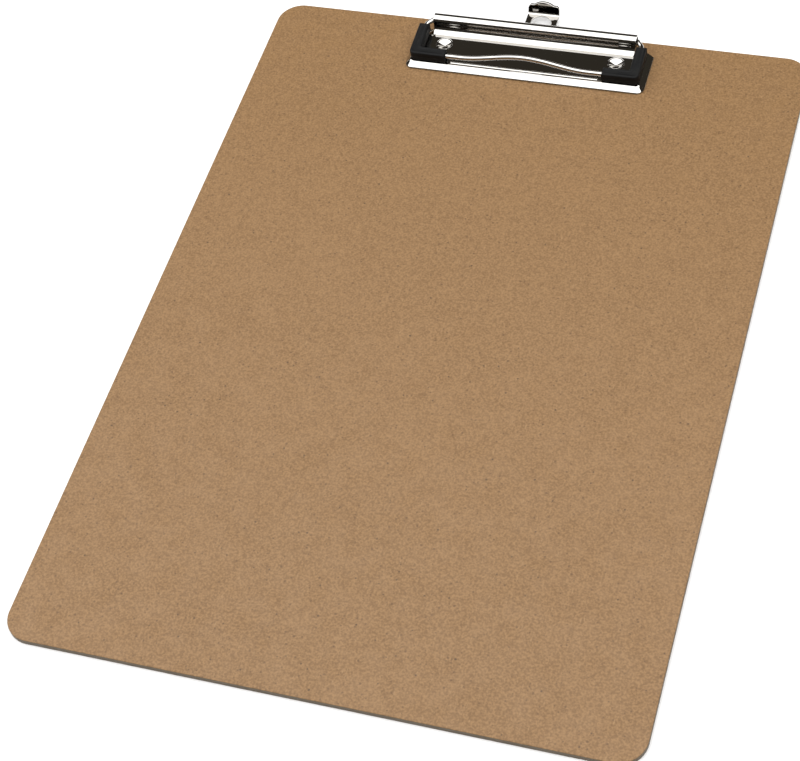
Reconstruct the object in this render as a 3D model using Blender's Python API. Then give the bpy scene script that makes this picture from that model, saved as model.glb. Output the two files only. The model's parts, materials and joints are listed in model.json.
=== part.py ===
"""A4 hardboard clipboard with a wire-bail clip.

A chromed pan is riveted near the rear edge of the board. Its rear edge is curled into a sleeve, and the
legs of a sprung wire bail turn inside that sleeve. Rubber grips cover the two front corners of the bail.
A hanger strip slides out from under the pan and has an eyelet behind the board's rear edge.

Units are metres. The origin is the centre of the board's underside, +X runs across the board, +Y runs
towards the clip end and +Z points up.
"""

import math

import bmesh
import bpy
from mathutils import Vector

# Board
BOARD_WIDTH = 0.225
BOARD_LENGTH = 0.315
BOARD_THICK = 0.0025
BOARD_CORNER_R = 0.010
BOARD_EDGE_EASE = 0.0003

# Pan: heights are measured from the top of the board
SHEET = 0.0008
PAN_HALF_WIDTH = 0.0502
PAN_FRONT_Y = 0.1279
PAN_EAR_REAR_Y = 0.1490
PAN_HEIGHT = 0.0025
PAN_CORNER_R = 0.0034
PAN_GAP = 0.0003
NECK_HALF_WIDTH = 0.0422
NECK_SLIT = 0.0006
BEND_START_Y = 0.1460
BEND_R = 0.0033
CURL_R = 0.0026
CURL_HALF_WIDTH = 0.0428
CURL_SWEEP = 310
BEAD_Y = 0.1315
BEAD_HALF_LENGTH = 0.0312
BEAD_HALF_WIDTH = 0.0006
BEAD_HEIGHT = 0.00025

# Rivets
RIVET_X = 0.0362
RIVET_Y = 0.1415
RIVET_HEAD_R = 0.0042
RIVET_HEAD_LOW = 0.0002
RIVET_HEAD_HIGH = 0.0010
RIVET_HEAD_EASE = 0.0003
RIVET_SHANK_R = 0.0020
RIVET_RIM_R = 0.00295
RIVET_RIM_EASE = 0.0001
RIVET_FLARE = 0.0011
RIVET_DISH_FLOOR_R = 0.0003
RIVET_DISH_DEPTH = 0.0011
RIVET_CLEARANCE = 0.0004
COUNTERBORE = 0.0013
DIMPLE_R = 0.0033
DIMPLE_LIP = 0.00025
DIMPLE_LIP_DROP = 0.00008
DIMPLE_HOLE_R = 0.0025
DIMPLE_DEPTH = 0.0013

# Hinge axis: the middle of the curled sleeve
HINGE_Y = BEND_START_Y + BEND_R + CURL_R
HINGE_Z = BOARD_THICK + PAN_HEIGHT + BEND_R

# Bail: lengths are measured from the hinge axis, in the bail's own plane
WIRE_R = 0.00100
BAIL_REACH = 0.0197
BAIL_DROP = 0.0007
BAIL_HALF_WIDTH = 0.0458
BAIL_CORNER_R = 0.0034
BAIL_CRANK_Y = 0.0046
BAIL_CRANK_X = 0.0446
BAIL_CRANK_EASE = 0.0006
BAIL_TURN_R = 0.0016
BAIL_LEG_START_X = CURL_HALF_WIDTH - 0.0012
BAIL_LEG_END_X = 0.0060
BOW_HALF_SPAN = 0.0270
BOW_RISE = 0.0034
BOW_SETBACK = 0.0006

# Grips
GRIP_OUTER_X = 0.0480
GRIP_INNER_X = 0.0436
GRIP_FRONT_Y = 0.0217
GRIP_LEG_DEPTH = 0.0042
GRIP_LEG_END_X = 0.0328
GRIP_REAR_Y = 0.0046
GRIP_HALF_HEIGHT = 0.0021
GRIP_CHAMFER = 0.0008
GRIP_OUTER_R = 0.0022
GRIP_INNER_R = 0.0006
GRIP_BORE_GAP = 0.0002

# Hanger, at full extension
HANGER_THICK = 0.0009
HANGER_GAP = 0.0004
HANGER_HALF_WIDTH = 0.00665
HANGER_BEND_Y = 0.1670
HANGER_BEND_R = 0.0010
HANGER_LIP_LEAN = 20
HANGER_LIP_TOP = 0.0050
HANGER_SHOULDER_R = 0.0016
HANGER_HUMP_HALF = 0.0042
HANGER_HUMP_RISE = 0.0013
EYELET_R = 0.00435
EYELET_Y = 0.1607
HANGER_TEE_HALF = 0.0095
HANGER_TEE_FRONT_Y = 0.1426
HANGER_TEE_REAR_Y = 0.1449
LUG_INNER_X = 0.0071
LUG_OUTER_X = 0.0096
LUG_FRONT_Y = 0.1452
LUG_REAR_Y = 0.1460
LUG_BOTTOM = 0.0004

# Cutters reach past the faces that they cut by this much
BEYOND = 0.001

BOARD_TOP = BOARD_THICK
PAN_TOP = BOARD_TOP + PAN_HEIGHT


def clear_scene():
    for obj in list(bpy.data.objects):
        bpy.data.objects.remove(obj)


def make_material(name, color, roughness, metallic):
    material = bpy.data.materials.new(name)
    material.use_nodes = True
    shader = material.node_tree.nodes["Principled BSDF"]
    shader.inputs["Base Color"].default_value = (*color, 1.0)
    shader.inputs["Roughness"].default_value = roughness
    shader.inputs["Metallic"].default_value = metallic
    return material


def add_object(name, bm, material=None):
    """Turns the bmesh into a linked object, shaded smooth with sharp edges over 35 degrees."""
    bmesh.ops.recalc_face_normals(bm, faces=bm.faces)
    mesh = bpy.data.meshes.new(name)
    bm.to_mesh(mesh)
    bm.free()
    mesh.shade_smooth()
    mesh.set_sharp_from_angle(angle=math.radians(35))
    obj = bpy.data.objects.new(name, mesh)
    bpy.context.scene.collection.objects.link(obj)
    if material:
        obj.data.materials.append(material)
    return obj


def subtract(target, cutter):
    """Cuts one solid out of another, and keeps the cutter as a hidden guide."""
    cutter.hide_render = True
    cutter.display_type = "WIRE"
    modifier = target.modifiers.new("cut_" + cutter.name, "BOOLEAN")
    modifier.operation = "DIFFERENCE"
    modifier.solver = "EXACT"
    modifier.object = cutter


def arc(centre, radius, start, end, steps):
    """Points on a circle in the plane, from one angle to another in degrees."""
    points = []
    for i in range(steps + 1):
        angle = math.radians(start + (end - start) * i / steps)
        points.append((centre[0] + radius * math.cos(angle), centre[1] + radius * math.sin(angle)))
    return points


def rounded_rectangle(half_x, half_y, radius, steps):
    """An anticlockwise outline with four equal round corners."""
    points = []
    for turn, (sign_x, sign_y) in enumerate(((1, 1), (-1, 1), (-1, -1), (1, -1))):
        centre = (sign_x * (half_x - radius), sign_y * (half_y - radius))
        points += arc(centre, radius, 90 * turn, 90 * turn + 90, steps)
    return points


def loft(bm, rings, closed=True):
    """Joins rings that have the same number of points, and returns the rings' vertices."""
    loops = [[bm.verts.new(point) for point in ring] for ring in rings]
    for low, high in zip(loops, loops[1:]):
        count = len(low)
        for i in range(count if closed else count - 1):
            j = (i + 1) % count
            bm.faces.new((low[i], low[j], high[j], high[i]))
    return loops


def prism(outline, low, high, axis="Z"):
    """A closed solid with a flat outline, extruded along Z, or along Y for an outline given as (x, z)."""
    bm = bmesh.new()
    if axis == "Z":
        rings = [[(x, y, level) for x, y in outline] for level in (low, high)]
    else:
        rings = [[(x, level, z) for x, z in outline] for level in (low, high)]
    loops = loft(bm, rings)
    bm.faces.new(loops[0])
    bm.faces.new(loops[-1])
    return bm


def revolve(profile, x, y, segments):
    """A closed solid turned about a vertical axis; the profile starts and ends on the axis."""
    bm = bmesh.new()
    first = bm.verts.new((x, y, profile[0][1]))
    last = bm.verts.new((x, y, profile[-1][1]))
    rings = []
    for radius, z in profile[1:-1]:
        rings.append([(px, py, z) for px, py in arc((x, y), radius, 0, 360, segments)[:-1]])
    loops = loft(bm, rings)
    for i in range(segments):
        j = (i + 1) % segments
        bm.faces.new((first, loops[0][j], loops[0][i]))
        bm.faces.new((last, loops[-1][i], loops[-1][j]))
    return bm


def tube(path, radius, sides):
    """A closed round tube along a path, with flat ends."""
    points = [Vector(point) for point in path]
    up = Vector((0, 0, 1))
    rings = []
    for i, point in enumerate(points):
        ahead = points[min(i + 1, len(points) - 1)]
        behind = points[max(i - 1, 0)]
        along = (ahead - behind).normalized()
        side = along.cross(up).normalized()
        top = side.cross(along)
        ring = []
        for k in range(sides):
            angle = 2 * math.pi * (k + 0.5) / sides
            ring.append(point + radius * (side * math.cos(angle) + top * math.sin(angle)))
        rings.append(ring)
    bm = bmesh.new()
    loops = loft(bm, rings)
    bm.faces.new(loops[0])
    bm.faces.new(loops[-1])
    return bm


def make_board(material):
    bm = bmesh.new()
    rings = []
    for inset, z in (
        (BOARD_EDGE_EASE, 0),
        (0, BOARD_EDGE_EASE),
        (0, BOARD_THICK - BOARD_EDGE_EASE),
        (BOARD_EDGE_EASE, BOARD_THICK),
    ):
        outline = rounded_rectangle(
            BOARD_WIDTH / 2 - inset, BOARD_LENGTH / 2 - inset, BOARD_CORNER_R - inset, 10
        )
        rings.append([(x, y, z) for x, y in outline])
    loops = loft(bm, rings)
    bm.faces.new(loops[0])
    bm.faces.new(loops[-1])
    board = add_object("board", bm, material)
    for side, name in ((-1, "left"), (1, "right")):
        profile = [
            (0, -BEYOND),
            (RIVET_HEAD_R + RIVET_CLEARANCE, -BEYOND),
            (RIVET_HEAD_R + RIVET_CLEARANCE, COUNTERBORE),
            (RIVET_SHANK_R + RIVET_CLEARANCE, COUNTERBORE),
            (RIVET_SHANK_R + RIVET_CLEARANCE, BOARD_TOP + BEYOND),
            (0, BOARD_TOP + BEYOND),
        ]
        hole = revolve(profile, side * RIVET_X, RIVET_Y, 24)
        subtract(board, add_object(f"{name}_rivet_hole", hole))


def flange_section():
    """The pan's rolled-down edge as (distance in from the outline, height above the board)."""
    return (
        (0.0, PAN_GAP),
        (0.0, 0.00042),
        (0.00010, 0.00060),
        (0.00040, 0.00090),
        (0.00160, 0.00203),
        (0.00195, 0.00230),
        (0.00225, 0.00245),
        (0.00260, PAN_HEIGHT),
    )


def flange_outline(inset):
    """The pan's open outline at one inset: down the left side, round the front and up the right side."""
    half = PAN_HALF_WIDTH - inset
    front = PAN_FRONT_Y + inset
    radius = PAN_CORNER_R - inset
    points = [(-half, PAN_EAR_REAR_Y)]
    points += arc((-half + radius, front + radius), radius, 180, 270, 6)
    points += arc((half - radius, front + radius), radius, 270, 360, 6)
    points.append((half, PAN_EAR_REAR_Y))
    return points


def add_island(bm, levels):
    """A closed feature within the flat of the pan. Returns its outermost and innermost vertices."""
    loops = loft(bm, [[(x, y, BOARD_TOP + height) for x, y in outline] for outline, height in levels])
    return loops[0], loops[-1]


def bead_outline(inset):
    half_length = BEAD_HALF_LENGTH - inset
    half_width = BEAD_HALF_WIDTH - inset
    points = rounded_rectangle(half_length, half_width, half_width, 3)
    return [(x, BEAD_Y + y) for x, y in points]


def neck_section():
    """The upper surface behind the flat, as (y, height, share of the way from the bend to the curl)."""
    bend_steps = 9
    bend = arc((BEND_START_Y, PAN_HEIGHT + BEND_R), BEND_R, -90, 0, bend_steps)
    curl = arc((HINGE_Y, PAN_HEIGHT + BEND_R), CURL_R, 180, 180 - CURL_SWEEP, 28)
    section = [(y, height, i / bend_steps) for i, (y, height) in enumerate(bend)]
    section += [(y, height, 1.0) for y, height in curl[1:]]
    return section


def make_base_plate(material):
    """The pan, neck and curled sleeve are one pressed sheet, drawn as its upper surface and thickened."""
    bm = bmesh.new()
    rings = []
    for inset, height in flange_section():
        rings.append([(x, y, BOARD_TOP + height) for x, y in flange_outline(inset)])
    shoulder = loft(bm, rings, closed=False)[-1]

    neck = []
    for y, height, share in neck_section():
        half = NECK_HALF_WIDTH + (CURL_HALF_WIDTH - NECK_HALF_WIDTH) * share
        neck.append([(half, y, BOARD_TOP + height), (-half, y, BOARD_TOP + height)])
    start = loft(bm, neck, closed=False)[0]

    slit_x = NECK_HALF_WIDTH + NECK_SLIT
    right = [bm.verts.new((slit_x, y, PAN_TOP)) for y in (PAN_EAR_REAR_Y, BEND_START_Y)]
    left = [bm.verts.new((-slit_x, y, PAN_TOP)) for y in (BEND_START_Y, PAN_EAR_REAR_Y)]
    borders = [shoulder + right + start + left]

    bead_outer, bead_inner = add_island(
        bm,
        (
            (bead_outline(0), PAN_HEIGHT),
            (bead_outline(BEAD_HALF_WIDTH * 0.35), PAN_HEIGHT + BEAD_HEIGHT * 0.75),
            (bead_outline(BEAD_HALF_WIDTH * 0.70), PAN_HEIGHT + BEAD_HEIGHT),
        ),
    )
    bm.faces.new(bead_inner)
    borders.append(bead_outer)
    for side in (-1, 1):
        centre = (side * RIVET_X, RIVET_Y)
        outer, _ = add_island(
            bm,
            (
                (arc(centre, DIMPLE_R + DIMPLE_LIP, 0, 360, 24)[:-1], PAN_HEIGHT),
                (arc(centre, DIMPLE_R, 0, 360, 24)[:-1], PAN_HEIGHT - DIMPLE_LIP_DROP),
                (arc(centre, DIMPLE_HOLE_R, 0, 360, 24)[:-1], PAN_HEIGHT - DIMPLE_DEPTH),
            ),
        )
        borders.append(outer)

    edges = []
    for loop in borders:
        for a, b in zip(loop, loop[1:] + loop[:1]):
            edges.append(bm.edges.get((a, b)) or bm.edges.new((a, b)))
    bmesh.ops.triangle_fill(bm, edges=edges, use_beauty=True, use_dissolve=False)

    plate = add_object("base_plate", bm, material)
    widest = max(plate.data.polygons, key=lambda polygon: polygon.area)
    if widest.normal.z < 0:
        plate.data.flip_normals()
    thicken = plate.modifiers.new("sheet", "SOLIDIFY")
    thicken.thickness = SHEET
    thicken.offset = -1
    thicken.use_even_offset = True
    for side, name in ((-1, "left"), (1, "right")):
        low, high = sorted((side * LUG_INNER_X, side * LUG_OUTER_X))
        outline = [(low, LUG_FRONT_Y), (high, LUG_FRONT_Y), (high, LUG_REAR_Y), (low, LUG_REAR_Y)]
        lug = add_object(f"{name}_lug", prism(outline, BOARD_TOP + LUG_BOTTOM, PAN_TOP - SHEET / 2))
        lug.hide_render = True
        lug.display_type = "WIRE"
        join = plate.modifiers.new(f"join_{name}_lug", "BOOLEAN")
        join.operation = "UNION"
        join.solver = "EXACT"
        join.object = lug


def make_rivet(name, side, material):
    """A rivet with a flat head below, and a flared end with a conical dish above."""
    profile = [
        (0, RIVET_HEAD_LOW),
        (RIVET_HEAD_R - RIVET_HEAD_EASE, RIVET_HEAD_LOW),
        (RIVET_HEAD_R, RIVET_HEAD_LOW + RIVET_HEAD_EASE),
        (RIVET_HEAD_R, RIVET_HEAD_HIGH),
        (RIVET_SHANK_R, RIVET_HEAD_HIGH),
        (RIVET_SHANK_R, PAN_TOP - RIVET_FLARE),
        (RIVET_RIM_R, PAN_TOP - RIVET_RIM_EASE),
        (RIVET_RIM_R, PAN_TOP),
        (RIVET_RIM_R - RIVET_RIM_EASE, PAN_TOP + RIVET_RIM_EASE / 2),
        (RIVET_DISH_FLOOR_R, PAN_TOP - RIVET_DISH_DEPTH),
        (0, PAN_TOP - RIVET_DISH_DEPTH),
    ]
    add_object(name, revolve(profile, side * RIVET_X, RIVET_Y, 24), material)


def bail_bow(x):
    """How far the front run rises and steps back at one place along it."""
    share = max(0.0, 1 - abs(x) / BOW_HALF_SPAN)
    return 0.5 - 0.5 * math.cos(math.pi * share)


def bail_path():
    """Centreline of the right half of the bail, from its middle to the end of its leg in the sleeve."""
    points = []
    front = -BAIL_REACH
    steps = 14
    for i in range(steps + 1):
        x = BOW_HALF_SPAN * i / steps
        points.append((x, front + BOW_SETBACK * bail_bow(x), BOW_RISE * bail_bow(x)))
    corner_x = BAIL_HALF_WIDTH - BAIL_CORNER_R
    corner = arc((corner_x, front + BAIL_CORNER_R), BAIL_CORNER_R, -90, 0, 7)
    points += [(x, y, 0.0) for x, y in corner]
    # The arm leans in towards the sleeve, then turns to run along it.
    points.append((BAIL_HALF_WIDTH - 0.00005, -BAIL_CRANK_Y - 0.0004, 0.0))
    points.append((BAIL_HALF_WIDTH - 0.00020, -BAIL_CRANK_Y + 0.0003, 0.0))
    points.append((BAIL_CRANK_X + BAIL_CRANK_EASE, -BAIL_TURN_R - 0.0010, 0.0))
    turn = arc((BAIL_LEG_START_X + BAIL_CRANK_EASE, -BAIL_TURN_R), BAIL_TURN_R, 20, 90, 6)
    points += [(x, y, 0.0) for x, y in turn]
    points.append((BAIL_LEG_START_X, 0.0, 0.0))
    points.append((BAIL_LEG_END_X, 0.0, 0.0))
    return points


def place_on_hinge(obj):
    """Puts the object's origin on the hinge axis, tilted so that the front of the bail is lower."""
    obj.location = (0, HINGE_Y, HINGE_Z)
    obj.rotation_euler = (math.asin(BAIL_DROP / BAIL_REACH), 0, 0)


def make_bail(material):
    half = bail_path()
    whole = [(-x, y, z) for x, y, z in reversed(half[1:])] + half
    place_on_hinge(add_object("bail_wire", tube(whole, WIRE_R, 12), material))


def grip_outline(inset):
    """The right grip seen from above: an L with a round outer corner."""
    outer = GRIP_OUTER_X - inset
    inner = GRIP_INNER_X + inset
    front = -GRIP_FRONT_Y + inset
    back = -GRIP_FRONT_Y + GRIP_LEG_DEPTH - inset
    radius = GRIP_OUTER_R
    points = [(GRIP_LEG_END_X + inset, back), (GRIP_LEG_END_X + inset, front)]
    points += arc((outer - radius, front + radius), radius, -90, 0, 6)
    points += [(outer, -GRIP_REAR_Y - inset), (inner, -GRIP_REAR_Y - inset)]
    points += arc((inner - GRIP_INNER_R, back + GRIP_INNER_R), GRIP_INNER_R, 0, -90, 3)
    return points


def make_grip(name, side, material):
    levels = (
        (GRIP_CHAMFER * 0.5, -GRIP_HALF_HEIGHT),
        (0, -GRIP_HALF_HEIGHT + GRIP_CHAMFER * 0.5),
        (0, GRIP_HALF_HEIGHT - GRIP_CHAMFER),
        (GRIP_CHAMFER, GRIP_HALF_HEIGHT),
    )
    bm = bmesh.new()
    rings = [[(side * x, y, z) for x, y in grip_outline(inset)] for inset, z in levels]
    loops = loft(bm, rings)
    bm.faces.new(loops[0])
    bm.faces.new(loops[-1])
    grip = add_object(name, bm, material)
    place_on_hinge(grip)
    path = [(side * x, y, z) for x, y, z in bail_path()]
    if side < 0:
        path.reverse()
    cutter = add_object(f"{name}_bore", tube(path, WIRE_R + GRIP_BORE_GAP, 12))
    place_on_hinge(cutter)
    subtract(grip, cutter)


def lip_blank_top():
    """The height of the lip before its top is trimmed to shape."""
    return BOARD_TOP + HANGER_LIP_TOP + HANGER_HUMP_RISE + BEYOND


def hanger_section(under, steps):
    """The strip's outline seen from the side, as (y, z): flat, bend and a lip that leans back."""
    outer_r = HANGER_BEND_R + HANGER_THICK
    centre = (HANGER_BEND_Y - outer_r, under + outer_r)
    outer = arc(centre, outer_r, -90, -HANGER_LIP_LEAN, steps)
    inner = arc(centre, HANGER_BEND_R, -HANGER_LIP_LEAN, -90, steps)
    slope = math.tan(math.radians(HANGER_LIP_LEAN))
    top = lip_blank_top()
    rims = [(y + (top - z) * slope, top) for y, z in (outer[-1], inner[0])]
    return [(HANGER_TEE_FRONT_Y, under)] + outer + rims + inner + [(HANGER_TEE_FRONT_Y, under + HANGER_THICK)]


def lip_trim_outline():
    """What is trimmed off round the hanger's lip: everything beyond its round shoulders and hump."""
    shoulder = BOARD_TOP + HANGER_LIP_TOP - HANGER_SHOULDER_R
    hump_r = (HANGER_HUMP_HALF**2 + HANGER_HUMP_RISE**2) / (2 * HANGER_HUMP_RISE)
    spread = math.degrees(math.asin(HANGER_HUMP_HALF / hump_r))
    hump_centre = (0, BOARD_TOP + HANGER_LIP_TOP + HANGER_HUMP_RISE - hump_r)
    inner_x = HANGER_HALF_WIDTH - HANGER_SHOULDER_R
    beyond_x = HANGER_HALF_WIDTH + BEYOND
    beyond_z = lip_blank_top() + BEYOND
    points = [(-beyond_x, shoulder), (-HANGER_HALF_WIDTH, shoulder)]
    points += arc((-inner_x, shoulder), HANGER_SHOULDER_R, 180, 90, 5)[1:]
    points += arc(hump_centre, hump_r, 90 + spread, 90 - spread, 10)
    points += arc((inner_x, shoulder), HANGER_SHOULDER_R, 90, 0, 5)
    points += [(beyond_x, shoulder), (beyond_x, beyond_z), (-beyond_x, beyond_z)]
    return points


def make_hanger(material):
    """A strip with a T-shaped inner end, an eyelet and an upturned lip."""
    under = BOARD_TOP + HANGER_GAP
    section = hanger_section(under, 7)
    back = max(y for y, _ in section) + BEYOND
    bm = bmesh.new()
    rings = [[(x, y, z) for y, z in section] for x in (-HANGER_TEE_HALF, HANGER_TEE_HALF)]
    loops = loft(bm, rings)
    bm.faces.new(loops[0])
    bm.faces.new(loops[-1])
    hanger = add_object("hanger", bm, material)

    for side, name in ((-1, "left"), (1, "right")):
        low, high = sorted((side * HANGER_HALF_WIDTH, side * (HANGER_TEE_HALF + BEYOND)))
        outline = [
            (low, HANGER_TEE_REAR_Y),
            (high, HANGER_TEE_REAR_Y),
            (high, back),
            (low, back),
        ]
        cutter = prism(outline, BOARD_TOP, lip_blank_top() + BEYOND)
        subtract(hanger, add_object(f"{name}_tee_trim", cutter))
    trim = prism(lip_trim_outline(), HANGER_BEND_Y - HANGER_THICK - BEYOND, back, axis="Y")
    subtract(hanger, add_object("lip_trim", trim))
    eyelet = prism(arc((0, EYELET_Y), EYELET_R, 0, 360, 40)[:-1], BOARD_TOP, under + HANGER_THICK + BEYOND)
    subtract(hanger, add_object("eyelet_hole", eyelet))


def main():
    clear_scene()
    hardboard = make_material("hardboard", (0.36, 0.22, 0.12), 0.62, 0.0)
    chrome = make_material("chrome", (0.62, 0.61, 0.59), 0.06, 1.0)
    wire_chrome = make_material("wire_chrome", (0.62, 0.61, 0.59), 0.08, 1.0)
    rivet_chrome = make_material("rivet_chrome", (0.62, 0.61, 0.59), 0.10, 1.0)
    hanger_chrome = make_material("hanger_chrome", (0.62, 0.61, 0.59), 0.08, 1.0)
    rubber = make_material("black_rubber", (0.018, 0.018, 0.020), 0.5, 0.0)
    make_board(hardboard)
    make_base_plate(chrome)
    make_bail(wire_chrome)
    make_hanger(hanger_chrome)
    for side, name in ((-1, "left"), (1, "right")):
        make_rivet(f"{name}_rivet", side, rivet_chrome)
        make_grip(f"{name}_grip", side, rubber)


main()
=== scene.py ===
"""Looks of an A4 hardboard clipboard with a wire-bail clip.

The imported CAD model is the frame. Its boxes and its hinge axis give the places, and each piece here
is a finer mesh of one CAD part, which rides on that part's body. Units are metres, the origin is the
centre of the board's underside, +X runs across the board, +Y towards the clip end and +Z up. The
curled sleeve, the hinge axis and the bail's legs all lie along X.
"""

import json
import math

import bmesh
import bpy
from mathutils import Matrix, Vector


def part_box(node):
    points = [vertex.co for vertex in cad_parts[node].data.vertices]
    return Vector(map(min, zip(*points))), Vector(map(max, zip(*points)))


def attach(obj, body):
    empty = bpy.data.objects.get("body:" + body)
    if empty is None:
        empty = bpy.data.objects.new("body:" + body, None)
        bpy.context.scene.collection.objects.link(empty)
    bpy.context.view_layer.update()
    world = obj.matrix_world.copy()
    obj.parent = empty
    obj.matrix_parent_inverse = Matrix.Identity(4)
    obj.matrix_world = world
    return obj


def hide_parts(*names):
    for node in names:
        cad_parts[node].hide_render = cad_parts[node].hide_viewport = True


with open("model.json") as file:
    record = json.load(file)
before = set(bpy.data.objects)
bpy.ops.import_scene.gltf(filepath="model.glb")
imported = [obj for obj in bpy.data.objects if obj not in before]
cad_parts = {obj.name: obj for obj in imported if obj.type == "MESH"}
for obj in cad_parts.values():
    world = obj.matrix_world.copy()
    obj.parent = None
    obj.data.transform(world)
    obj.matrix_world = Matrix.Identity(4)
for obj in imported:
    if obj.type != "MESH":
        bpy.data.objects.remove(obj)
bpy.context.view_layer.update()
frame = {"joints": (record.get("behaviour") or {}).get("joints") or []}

# The photograph's camera: its place is measured from the centre of the board's underside
CAMERA_PLACE = Vector((0.19015, -0.42011, 0.58091))
CAMERA_HEADING = math.radians(-25.619)
CAMERA_PITCH = math.radians(52.687)
CAMERA_ROLL = math.radians(11.816)
CAMERA_LENS = 89.61
CAMERA_SENSOR = 36.0
CAMERA_SHIFT = (-0.0225, -0.0081)

# Board
board_low, board_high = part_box("board")
BOARD_HALF_X = board_high.x
BOARD_HALF_Y = board_high.y
BOARD_TOP = board_high.z
BOARD_CORNER_R = 0.010
BOARD_EDGE_R = 0.0003

# Pan: heights are measured from the top of the board
plate_low, plate_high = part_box("base_plate")
HINGE = Vector(next(joint["pos_m"] for joint in frame["joints"] if joint["name"] == "bail_hinge"))
SHEET = 0.0008
PAN_HALF_WIDTH = plate_high.x
PAN_FRONT_Y = plate_low.y
PAN_EAR_REAR_Y = 0.1490
PAN_HEIGHT = 0.0025
PAN_CORNER_R = 0.0034
PAN_GAP = plate_low.z - BOARD_TOP
CURL_R = 0.0026
CURL_SWEEP = 310
CURL_HALF_WIDTH = 0.0428
BEND_R = HINGE.z - BOARD_TOP - PAN_HEIGHT
BEND_START_Y = HINGE.y - CURL_R - BEND_R
NECK_HALF_WIDTH = 0.0422
NECK_SLIT = 0.0006
BEAD_Y = 0.1315
BEAD_HALF_LENGTH = 0.0312
BEAD_HALF_WIDTH = 0.0006
BEAD_HEIGHT = 0.00025
BEAD_TOP_INSET = 0.85 * BEAD_HALF_WIDTH
PAN_EDGE_R = 0.00012

# Rivets
left_rivet_low, left_rivet_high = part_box("left_rivet")
RIVET_X = abs(left_rivet_low.x + left_rivet_high.x) / 2
RIVET_Y = (left_rivet_low.y + left_rivet_high.y) / 2
RIVET_HEAD_R = (left_rivet_high.x - left_rivet_low.x) / 2
RIVET_HEAD_LOW = left_rivet_low.z
RIVET_HEAD_HIGH = 0.0010
RIVET_HEAD_EASE = 0.0003
RIVET_SHANK_R = 0.0020
RIVET_RIM_R = 0.00295
RIVET_RIM_EASE = 0.00008
RIVET_FLARE = 0.0011
RIVET_DISH_FLOOR_R = 0.0003
RIVET_DISH_DEPTH = 0.0011
RIVET_CLEARANCE = 0.0004
COUNTERBORE = 0.0013
DIMPLE_R = 0.0033
DIMPLE_HOLE_R = 0.0025
DIMPLE_DEPTH = 0.0013
# The rim between the pan's flat and the dimple's wall, as (distance outside DIMPLE_R, depth)
DIMPLE_RIM = ((0.00030, 0.0), (0.00010, 0.00003), (-0.00005, 0.00020))
# Rings on the dish's cone, as shares of the way down, and one on its floor, as a share of the radius
CONE_RINGS = (0.03, 0.5, 0.97)
FLOOR_RING = 0.6

# Bail: lengths are measured from the hinge axis, in the bail's own plane
WIRE_R = 0.00100
BAIL_REACH = 0.0197
BAIL_DROP = 0.0007
BAIL_HALF_WIDTH = 0.0458
BAIL_CORNER_R = 0.0034
BAIL_CRANK_Y = 0.0046
BAIL_CRANK_X = 0.0446
BAIL_CRANK_EASE = 0.0006
BAIL_TURN_R = 0.0016
BAIL_LEG_START_X = CURL_HALF_WIDTH - 0.0012
BAIL_LEG_END_X = 0.0060
BOW_HALF_SPAN = 0.0270
BOW_RISE = 0.0034
BOW_SETBACK = 0.0006
# Where the arm starts to lean in, as (distance in from the arm, distance behind the crank)
ARM_LEAN = ((0.00005, -0.0004), (0.00020, 0.0003))
ARM_LEAN_END = 0.0010
LEG_TIP = 0.0001

# Grips
GRIP_OUTER_X = 0.0480
GRIP_INNER_X = 0.0436
GRIP_FRONT_Y = 0.0217
GRIP_LEG_DEPTH = 0.0042
GRIP_LEG_END_X = 0.0328
GRIP_REAR_Y = 0.0046
GRIP_HALF_HEIGHT = 0.0021
GRIP_CHAMFER = 0.0008
GRIP_OUTER_R = 0.0022
GRIP_LEAST_R = 0.0003
GRIP_INNER_R = 0.0006
GRIP_SEAM_HALF = 0.00012
GRIP_SEAM_HEIGHT = 0.00004
GRIP_CHANNEL_EDGE = 0.00110
GRIP_CHANNEL_FLOOR = 0.00122
GRIP_CHANNEL_MIDDLE = 0.00160
GRIP_CHANNEL_DEPTH = 0.00010
GRIP_BORE_GAP = 0.00012

# Hanger, at full extension
hanger_low, hanger_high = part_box("hanger")
HANGER_THICK = 0.0009
HANGER_UNDER = hanger_low.z
HANGER_FRONT_Y = hanger_low.y
HANGER_HALF_WIDTH = 0.00665
HANGER_BEND_Y = 0.1670
HANGER_BEND_R = 0.0010
HANGER_LIP_LEAN = 20
HANGER_LIP_TOP = 0.0050
HANGER_SHOULDER_R = 0.0016
HANGER_HUMP_HALF = 0.0042
HANGER_HUMP_RISE = 0.0013
HANGER_EDGE_R = 0.00015
HANGER_TEE_HALF = hanger_high.x
HANGER_TEE_REAR_Y = 0.1449
EYELET_R = 0.00435
EYELET_Y = 0.1607
LUG_INNER_X = 0.0071
LUG_OUTER_X = 0.0096
LUG_FRONT_Y = 0.1452
LUG_REAR_Y = 0.1460
LUG_BOTTOM = 0.0004

# Cutters reach past the faces that they cut by this much
BEYOND = 0.001

# Shading: an edge that turns by more than the sharp angle, in degrees, isn't smoothed
SHARP_ANGLE = 35
RIVET_SHARP_ANGLE = 50
GRIP_SHARP_ANGLE = 60
# A face counts as level when its normal's Z is beyond this
LEVEL_NORMAL_Z = 0.99999
# Only edges that turn by more than this many degrees are rounded off
BEVEL_ANGLE = 50
BEVEL_SEGMENTS = 2

# The radius of a tube's two ends, as a share of the radius between them
TUBE_END = 0.85


# Shapes

def arc(centre, radius, start, end, steps):
    """Points on a circle in the plane, from one angle to another in degrees."""
    points = []
    for i in range(steps + 1):
        angle = math.radians(start + (end - start) * i / steps)
        points.append((centre[0] + radius * math.cos(angle), centre[1] + radius * math.sin(angle)))
    return points


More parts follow.
